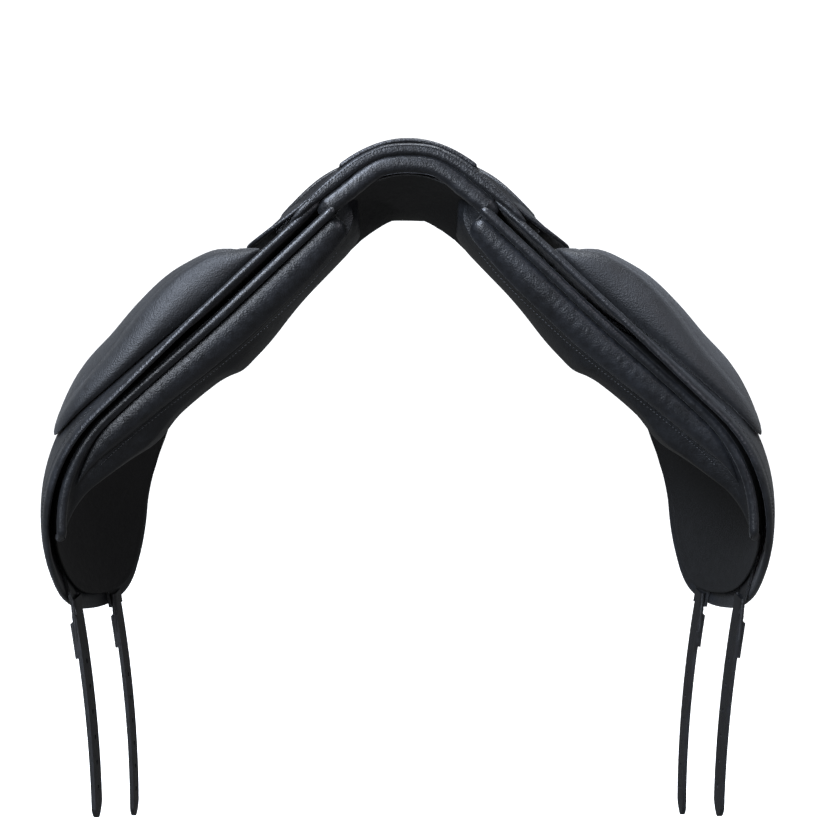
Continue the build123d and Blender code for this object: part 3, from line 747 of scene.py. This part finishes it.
class SADDLE_OT_seat(bpy.types.Operator):
    """Seat of fine hide over foam, its side welts and the cantle binding"""
    bl_idname = "saddle.seat"
    bl_label = "Seat"

    def execute(self, context):
        edge = PLAN + [(-x, y) for x, y in reversed(PLAN[1:-1])]

        def high(x, y, inset):
            seam = groove(inset, 20.0, 2.2, 1.0)
            return seat_z(x, y) + 1.5 * ease(inset / 60) + seam + 0.5 * ripple((x, y, 1), 70)

        def low(x, y, inset):
            return seat_z(x, y) - 11.0 - 4.0 * ease(inset / 20)

        seat = plate("seat", edge, (0.0, 250.0), high, low, 5.0, (30.0, 24.0, 22.0, 20.0, 18.0, 14.0, 8.0),
                     lambda x, y, z: Vector((x, y, z)), 200)
        dress(seat, "seat", "black_leather", "root", "seat_cover", "seat_foam")

        def rim(start, end):
            def path(t):
                place = start + (end - start) * t
                a = round_curve(edge, place)
                b = round_curve(edge, place + 0.002)
                along = Vector((b[0] - a[0], b[1] - a[1])).normalized()
                x, y = a[0] + along.y * 1.6, a[1] - along.x * 1.6
                return Vector((x, y, seat_z(x, y) - 1.5))
            return path
        count = len(edge)
        for name, start, end in (("near", 3.6, 9.2), ("off", count - 9.2, count - 3.6)):
            welt = tube(f"seat_welt_{name}", rim(start / count, end / count), 2.3, 120, 10)
            dress(welt, "flap", "black_leather", "root", "seat_welts")
        back = tube("cantle_binding", rim(9.2 / count, (count - 9.2) / count), 3.0, 120, 12)
        dress(back, "flap", "black_leather", "root", "cantle_binding")
        return {"FINISHED"}


def along(path, at):
    """A place on a half arch, given from -1 at the off end to 1 at the near end."""
    station = abs(at) * (len(path) - 1)
    x = smooth(station, [(i, p[0]) for i, p in enumerate(path)])
    z = smooth(station, [(i, p[1]) for i, p in enumerate(path)])
    return (x if at >= 0 else -x), z


def arch_loft(name, path, height, y_low, y_high, crease, across, along_count, power=0.8, taper=0.0):
    """A stuffed arch: an oval section carried from the off side over the pommel to the near side."""
    def place(u, v):
        at = 2 * v - 1
        x, z = along(path, at)
        x1, z1 = along(path, at + 0.01)
        out = Vector((z - z1, 0, x1 - x)).normalized()
        angle = 2 * pi * u
        close = min(1.0, sqrt(max(min(v, 1 - v), 0.0) * 30))
        deep = abs(cos(angle)) ** power * (1 if cos(angle) >= 0 else -1)
        rise = abs(sin(angle)) ** power * (1 if sin(angle) >= 0 else -1)
        fold = crease * sin(x / 1.7 + 2.5 * ripple((x, u * 9, 4), 14)) * ease((abs(at) - 0.45) / 0.3)
        y = (y_low + y_high) / 2 + ((y_high - y_low) / 2 + fold * 0.5) * deep * close
        slim = 1 - taper * ease((abs(at) - 0.7) / 0.3)
        return Vector((x, y, z)) + out * (height + fold) * slim * rise * close
    return patch(name, across, along_count, place, smooth_levels=0)


class SADDLE_OT_pommel(bpy.types.Operator):
    """Pommel facing and dome band, padded gullet roll and the lining of the channel"""
    bl_idname = "saddle.pommel"
    bl_label = "Pommel and gullet"

    def execute(self, context):
        def lining(u, v):
            at = 2 * u - 1
            y = 6.0 + 425.0 * v ** 1.6
            deep = ease((y - 6.0) / 110.0)
            fx, fz = along(RIM_PATH, at)
            bx, bz = along(DEEP_PATH, at)
            x = fx * (1 - deep) + bx * deep
            z = fz * (1 - deep) + bz * deep + 0.068 * max(y - 116.0, 0.0)
            z += 14 * ease((y - 150) / 100) * ease((abs(at) - 0.6) / 0.4)
            return Vector((x, y, min(z, ceiling_z(x, y) - 1.5) + 0.4 * ripple((fx, y, z), 22)))

        def band(lift, reach):
            def path(t):
                x = reach * (2 * t - 1)
                return Vector((x, 0.4 - 0.3 * lift, seat_z(x, 3.0) + lift))
            return path

        facing = arch_loft("pommel_facing", FACING_PATH, 5.2, -3.2, 9.0, 0.0, 32, 220, 0.7, 0.55)
        dress(facing, "flap", "black_leather", "root", "pommel_binding")
        for number, lift in enumerate((-2.4, -5.6)):
            welt = tube(f"dome_band_{number}", band(lift, 58.0 - 1.5 * number), 2.1, 90, 12)
            dress(welt, "seat", "black_leather", "root")
        roll = arch_loft("gullet_roll", ROLL_PATH, 8.0, -2.4, 14.0, 0.12, 40, 420)
        dress(roll, "soft", "soft_leather", "root", "gullet_roll")
        piece = patch("channel_lining", 120, 90, lining, smooth_levels=0)
        wall = piece.modifiers.new("hide", "SOLIDIFY")
        wall.thickness = 0.0018
        wall.offset = 0.0
        # The channel lining takes the lining leather, darkened with painted shade.
        dress(piece, "lining", "soft_leather", "root", "channel_lining")
        return {"FINISHED"}


class SADDLE_OT_stitching(bpy.types.Operator):
    """Rows of waxed thread along the seams"""
    bl_idname = "saddle.stitching"
    bl_label = "Stitching"

    def execute(self, context):
        pitch = context.scene.saddle_sizes.stitch

        def edge_line(edge, middle, inset, height, start=0.0, end=1.0):
            def path(t):
                a, b = round_curve(edge, start + (end - start) * t)
                arm = Vector((middle[0] - a, middle[1] - b)).normalized() * inset
                return side(b + arm.y, a + arm.x, height(a + arm.x, b + arm.y))

            def out(t):
                a, b = round_curve(edge, start + (end - start) * t)
                return side(b, a, 5) - side(b, a, 0)
            points = [path(i / 60) for i in range(61)]
            length = sum((b - a).length for a, b in zip(points, points[1:]))
            return path, length, out

        def gusset_row(share, off, start, end):
            def path(t):
                down = start + (end - start) * t
                return gusset_put(share, down, off)

            def out(t):
                down = start + (end - start) * t
                return gusset_put(share, down, off + 4) - gusset_put(share, down, off)
            return path, end - start, out

        def arch_row(line, lift, y, way):
            def path(t):
                x, z = along(line, (2 * t - 1) * 0.88)
                return Vector((x, y, z + lift))
            return path, line[-1][0] * 2.3, lambda t: Vector(way)

        flap_edge = in_fall(FLAP_EDGE_YZ)
        for name, sign in SIDES:
            rows = [edge_line(flap_edge, FLAP_MIDDLE, inset, lambda y, down: FLAP_TOP_OFF - 0.4, 0.13, 0.85)
                    for inset in (11.0, 16.0)]
            piece = stitches(f"flap_thread_{name}", rows, sign, pitch)
            dress(piece, "thread", "black_leather", f"flap_{name}")
            rows = [edge_line(SKIRT_EDGE, SKIRT_MIDDLE, 5.0, lambda y, down: skirt_stand(y, down) + 3.1,
                              0.05, 0.62)]
            piece = stitches(f"skirt_thread_{name}", rows, sign, pitch)
            dress(piece, "thread", "black_leather", f"skirt_{name}")
            rows = [gusset_row(1.06, 0.6, 30, 318), gusset_row(-0.03, 1.2, 30, 330)]
            piece = stitches(f"gusset_thread_{name}", rows, sign, pitch)
            dress(piece, "thread", "soft_leather", "root")
        rows = [arch_row(FACING_PATH, 2.6, -3.4, (0, -1, 0.2)),
                arch_row(ROLL_PATH, -8.2, 2.0, (0, -1, -0.5))]
        piece = stitches("pommel_thread", rows, 1.0, 3.0)
        dress(piece, "thread", "black_leather", "root")
        return {"FINISHED"}


class SADDLE_OT_billet_tops(bpy.types.Operator):
    """The top length of each girth strap, from under the flap to its hanging part"""
    bl_idname = "saddle.billet_tops"
    bl_label = "Billet tops"

    def execute(self, context):
        for name, sign in SIDES:
            for place in ("front", "rear"):
                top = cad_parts[f"billet_{place}_{name}"]
                corners = [top.matrix_world @ vert.co for vert in top.data.vertices]
                high = max(corner.z for corner in corners)
                low = min(corner.z for corner in corners)
                near = [corner for corner in corners if corner.z > high - 0.006]
                far = [corner for corner in corners if corner.z < low + 0.03]
                head = sum(near, Vector()) / len(near)
                tail = sum(far, Vector()) / len(far)
                lean = (tail - head).x / (tail - head).z

                def section(u, v):
                    angle = 2 * pi * u
                    z = high + 0.016 - 0.04 * v
                    wide = abs(cos(angle)) ** 0.35 * (1 if cos(angle) >= 0 else -1)
                    thick = abs(sin(angle)) ** 0.7 * (1 if sin(angle) >= 0 else -1)
                    x = head.x + lean * (z - head.z) + 0.0026 * thick
                    y = head.y + 0.0131 * wide
                    return Vector((x / MM, y / MM + RACK_Y, z / MM - RACK_DROP))
                strap = patch(f"billet_top_{place}_{name}", 48, 24, section, 1.0, 0)
                dress(strap, "billet", "billet_leather", None)
                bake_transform(strap)
        return {"FINISHED"}


class SADDLE_OT_fittings(bpy.types.Operator):
    """Finishes for the metal, timber, web and strap pieces of the frame"""
    bl_idname = "saddle.fittings"
    bl_label = "Fittings"

    def execute(self, context):
        finishes = (("billet", "billet"), ("stirrup", "steel"), ("thumb", "steel"), ("catch", "steel"),
                    ("bar_rivets", "steel"), ("head_plate", "steel"), ("tree_springs", "steel"),
                    ("saddle_studs", "nickel"), ("straining", "web"), ("tree", "ply"))
        for node_name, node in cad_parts.items():
            for start, key in finishes:
                if node_name.startswith(start):
                    node.data.materials.clear()
                    node.data.materials.append(material_for(key))
                    break
        return {"FINISHED"}


class SADDLE_OT_stage(bpy.types.Operator):
    """Pale round floor and wall, soft lights, and the camera in front of the pommel"""
    bl_idname = "saddle.stage"
    bl_label = "Stage"

    def execute(self, context):
        scene = context.scene
        low = CAD_BOX[0][2] - 0.12
        bm = bmesh.new()
        profile = [bm.verts.new((0.0, 0.0, low)), bm.verts.new((4.5, 0.0, low))]
        for step in range(1, 13):
            bend = pi / 2 * step / 12
            profile.append(bm.verts.new((4.5 + 1.5 * sin(bend), 0.0, low + 1.5 * (1 - cos(bend)))))
        profile.append(bm.verts.new((6.0, 0.0, low + 12.0)))
        edges = [bm.edges.new(pair) for pair in zip(profile, profile[1:])]
        bmesh.ops.spin(bm, geom=profile + edges, cent=(0, 0, 0), axis=(0, 0, 1), angle=2 * pi, steps=72,
                       use_merge=True)
        bmesh.ops.remove_doubles(bm, verts=bm.verts, dist=0.001)
        floor = finish_mesh("floor", bm)
        material, tree, shader, place = start_material("pale_floor", Roughness=0.9, Emission_Strength=0.95)
        shader.inputs["Emission Color"].default_value = linear("#fafafa")
        speck = add_node(tree, "ShaderNodeTexNoise", [(place, "Vector")], Scale=3.0, Detail=3.0)
        colour = mix_colours(tree, speck.outputs["Fac"], "#f4f4f2", "#fbfbfa")
        tree.links.new(colour.outputs["Color"], shader.inputs["Base Color"])
        floor.data.materials.append(material)
        floor.visible_diffuse = False
        floor.visible_glossy = False

        world = bpy.data.worlds.new("soft_room")
        scene.world = world
        world.use_nodes = True
        world.node_tree.nodes["Background"].inputs["Color"].default_value = linear("#f2f5f8")
        world.node_tree.nodes["Background"].inputs["Strength"].default_value = 0.16

        def softbox(name, place, aim, size, power, tint):
            light = bpy.data.lights.new(name, "AREA")
            light.energy = power
            light.size = size
            light.color = linear(tint)[:3]
            holder = bpy.data.objects.new(name, light)
            scene.collection.objects.link(holder)
            holder.location = place
            holder.rotation_euler = (Vector(aim) - Vector(place)).to_track_quat("-Z", "Y").to_euler()
        softbox("window", (-1.4, -2.0, 1.5), (0, 0, -0.1), 0.9, 135, "#e0ebff")
        softbox("ceiling", (0.2, -0.5, 2.0), (0, 0, 0), 1.0, 60, "#f0f6ff")
        softbox("front", (-0.9, -2.4, 0.25), (0, 0, -0.15), 0.9, 36, "#ecf3ff")
        softbox("fill", (1.8, -1.9, 0.5), (0, 0, -0.1), 0.7, 16, "#ece8f4")

        camera = bpy.data.cameras.new("camera")
        camera.sensor_width = 36.0
        camera.lens = CAMERA_LENS
        camera.clip_end = 50.0
        holder = bpy.data.objects.new("camera", camera)
        scene.collection.objects.link(holder)
        holder.location = CAMERA_AT
        holder.rotation_euler = (radians(90.0 - CAMERA_PITCH), 0.0, radians(CAMERA_PAN))
        scene.camera = holder
        scene.view_settings.view_transform = "Standard"
        return {"FINISHED"}


STEPS = ("stage", "flaps", "under_flaps", "blocks", "skirts", "panels", "gussets", "seat", "pommel",
         "stitching", "billet_tops", "fittings")


class SADDLE_PT_maker(bpy.types.Panel):
    """Lists the saddle's sizes, colours and pieces"""
    bl_idname = "SADDLE_PT_maker"
    bl_label = "Riding saddle"
    bl_space_type = "VIEW_3D"
    bl_region_type = "UI"
    bl_category = "Saddle"

    def draw(self, context):
        for group in (context.scene.saddle_sizes, context.scene.saddle_colours):
            for name in group.__annotations__:
                self.layout.prop(group, name)
        for step in STEPS:
            self.layout.operator(f"saddle.{step}")


CLASSES = (SaddleColours, SaddleSizes, SADDLE_OT_flaps, SADDLE_OT_under_flaps, SADDLE_OT_blocks,
           SADDLE_OT_skirts, SADDLE_OT_panels, SADDLE_OT_gussets, SADDLE_OT_seat, SADDLE_OT_pommel,
           SADDLE_OT_stitching, SADDLE_OT_billet_tops, SADDLE_OT_fittings, SADDLE_OT_stage, SADDLE_PT_maker)


def register():
    for cls in CLASSES:
        bpy.utils.register_class(cls)
    bpy.types.Scene.saddle_colours = bpy.props.PointerProperty(type=SaddleColours)
    bpy.types.Scene.saddle_sizes = bpy.props.PointerProperty(type=SaddleSizes)


def unregister():
    del bpy.types.Scene.saddle_sizes
    del bpy.types.Scene.saddle_colours
    for cls in reversed(CLASSES):
        bpy.utils.unregister_class(cls)


def main():
    register()
    for step in STEPS:
        getattr(bpy.ops.saddle, step)()


if __name__ == "__main__":
    main()
